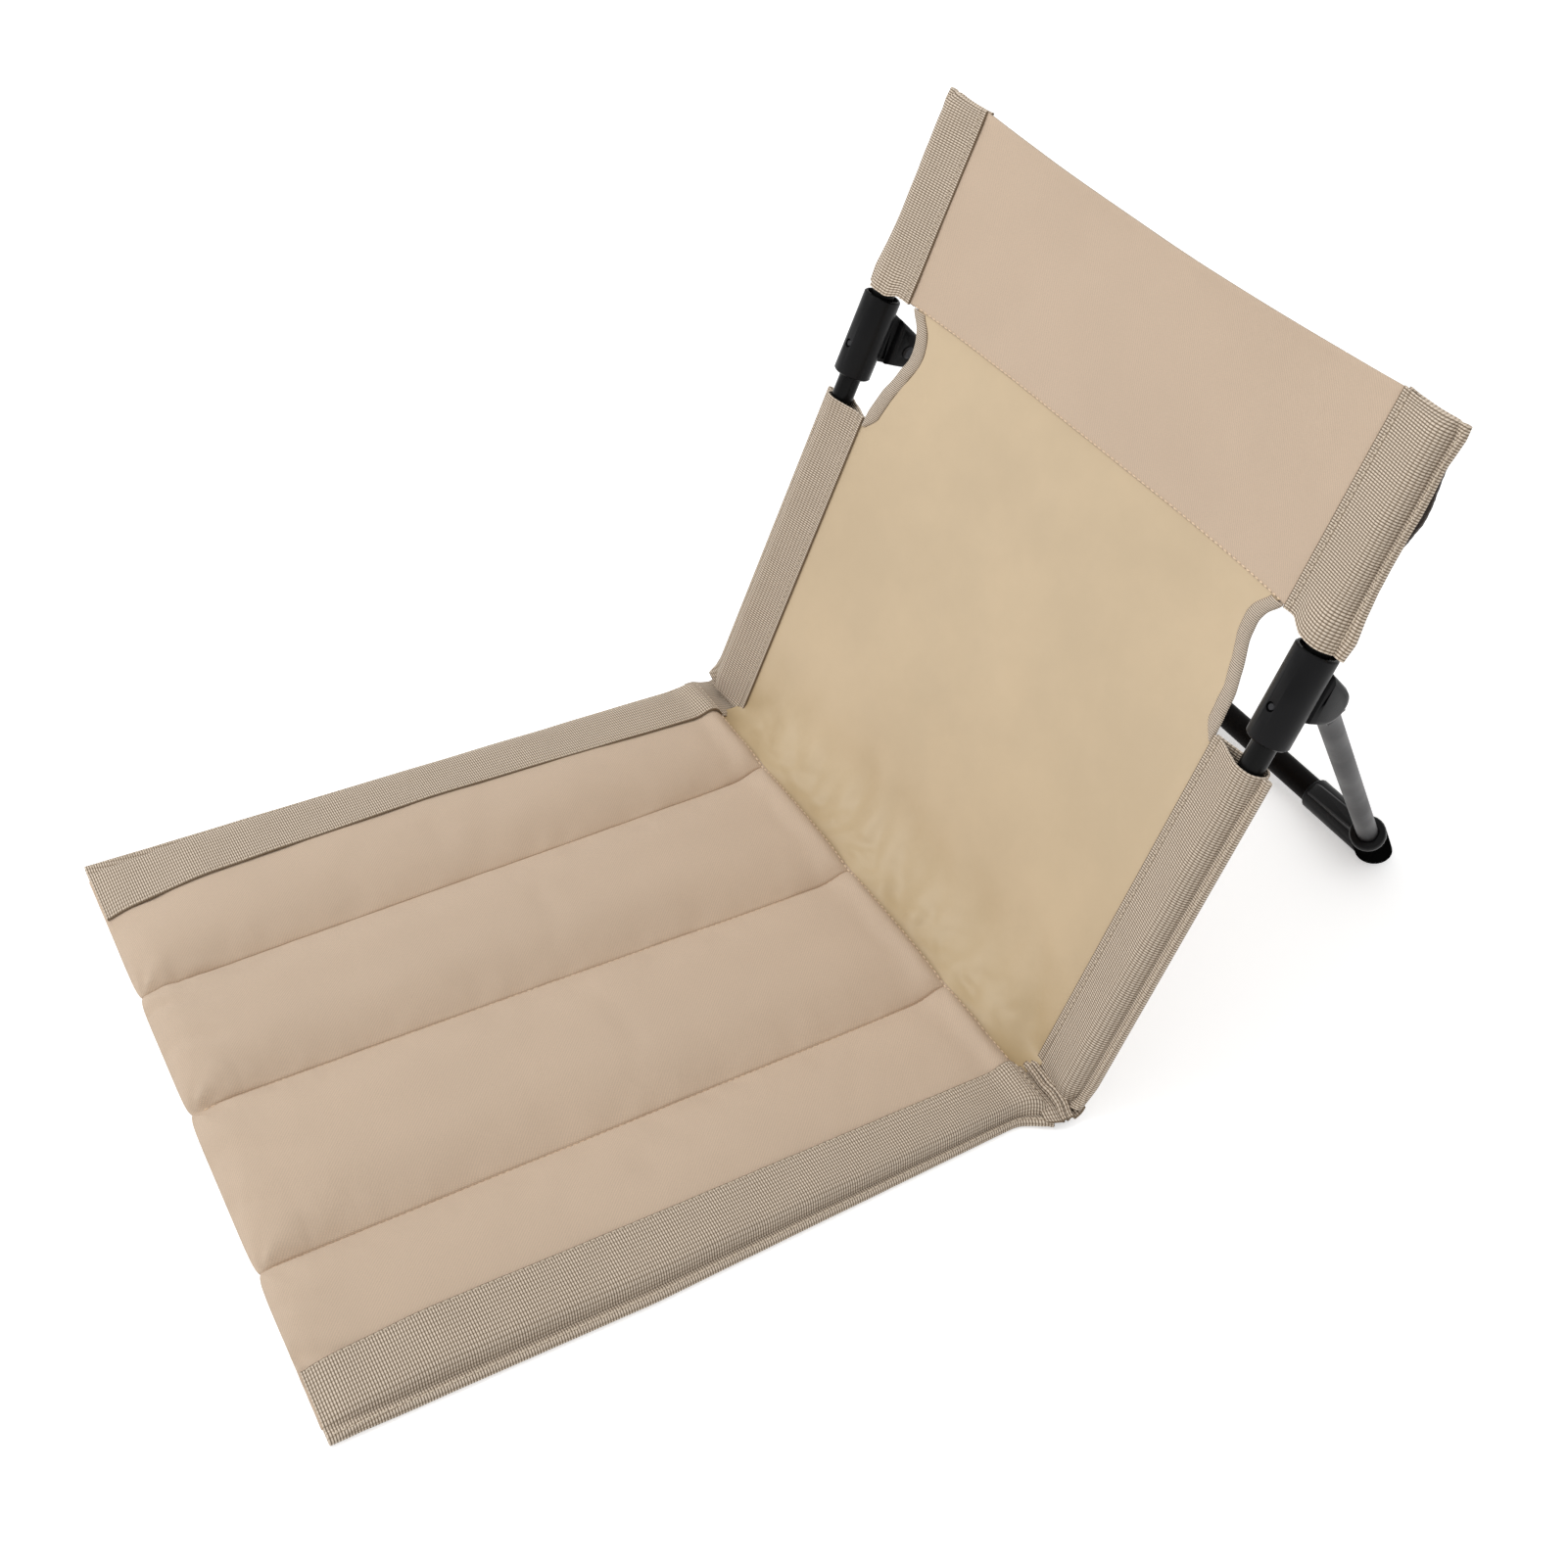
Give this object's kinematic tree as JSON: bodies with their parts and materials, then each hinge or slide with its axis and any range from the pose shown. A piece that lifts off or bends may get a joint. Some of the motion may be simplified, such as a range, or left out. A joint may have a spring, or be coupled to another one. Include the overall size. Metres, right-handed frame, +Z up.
{
  "type": "folding floor chair",
  "caption": "Low folding floor chair: quilted seat mat lying on the floor, tilted cloth back on two black uprights, propped from behind by a folding leg frame.",
  "frame": {"origin": "on the floor, under the middle of the open chair's bounding box", "axes": "+Z up; the chair faces -Y, so +Y runs from the seat's front edge to the rear feet; +X is to the sitter's left hand and to the right in a front view"},
  "size_m": [0.4, 0.6898, 0.3707],
  "materials": {
    "oxford_cloth": "woven oxford cloth, sewn in channels",
    "coated_cloth": "coated cloth with a soft sheen",
    "webbing_cloth": "ribbed webbing",
    "seam_tape": "sewn bead",
    "foam": "soft open-cell foam, not seen from outside",
    "hook_tape": "hook-and-loop tape",
    "black_tube": "black satin coating",
    "grey_tube": "grey satin coating",
    "crossbar_tube": "brownish black satin coating",
    "black_plastic": "moulded, fine satin",
    "foot_rubber": "moulded",
    "steel": "blackened"
  },
  "bodies": {
    "back_frame": {"upright_left": "black_tube", "upright_right": "black_tube", "upright_foot_plug_left": "black_plastic", "upright_foot_plug_right": "black_plastic", "upright_top_plug_left": "black_plastic", "upright_top_plug_right": "black_plastic", "bracket_rivet_left": "steel", "bracket_rivet_right": "steel", "hinge_bracket_left": "black_plastic", "hinge_bracket_right": "black_plastic", "leg_pivot_pin_left": "steel", "leg_pivot_pin_right": "steel", "back_panel": "coated_cloth", "headband": "oxford_cloth", "cutout_binding_left": "webbing_cloth", "cutout_binding_right": "webbing_cloth", "lower_sleeve_left": "webbing_cloth", "lower_sleeve_right": "webbing_cloth", "upper_sleeve_left": "webbing_cloth", "upper_sleeve_right": "webbing_cloth", "hook_and_loop_strip_left": "hook_tape", "hook_and_loop_strip_right": "hook_tape", "corner_tab_left": "webbing_cloth", "corner_tab_right": "webbing_cloth"},
    "rear_leg_frame": {"leg_tongue_left": "black_plastic", "leg_tongue_right": "black_plastic", "leg_tube_left": "grey_tube", "leg_tube_right": "grey_tube", "corner_connector_left": "black_plastic", "corner_connector_right": "black_plastic", "foot_cap_left": "foot_rubber", "foot_cap_right": "foot_rubber", "crossbar": "crossbar_tube"},
    "seat": {"seat_cover": "oxford_cloth", "seat_base_cloth": "oxford_cloth", "seat_foam_1": "foam", "seat_foam_2": "foam", "seat_foam_3": "foam", "seat_foam_4": "foam", "seat_webbing_left": "webbing_cloth", "seat_webbing_right": "webbing_cloth", "hinge_seam": "seam_tape"}
  },
  "joints": [
    {"name": "seat_fold", "type": "hinge", "parent": "back_frame", "child": "seat", "pos_m": [0, 0.03613, 0.008], "axis": [1, 0, 0], "range_deg": [-110, 70]},
    {"name": "rear_leg_fold", "type": "hinge", "parent": "back_frame", "child": "rear_leg_frame", "pos_m": [0, 0.15922, 0.22411], "axis": [1, 0, 0], "range_deg": [-57, 0]}
  ]
}
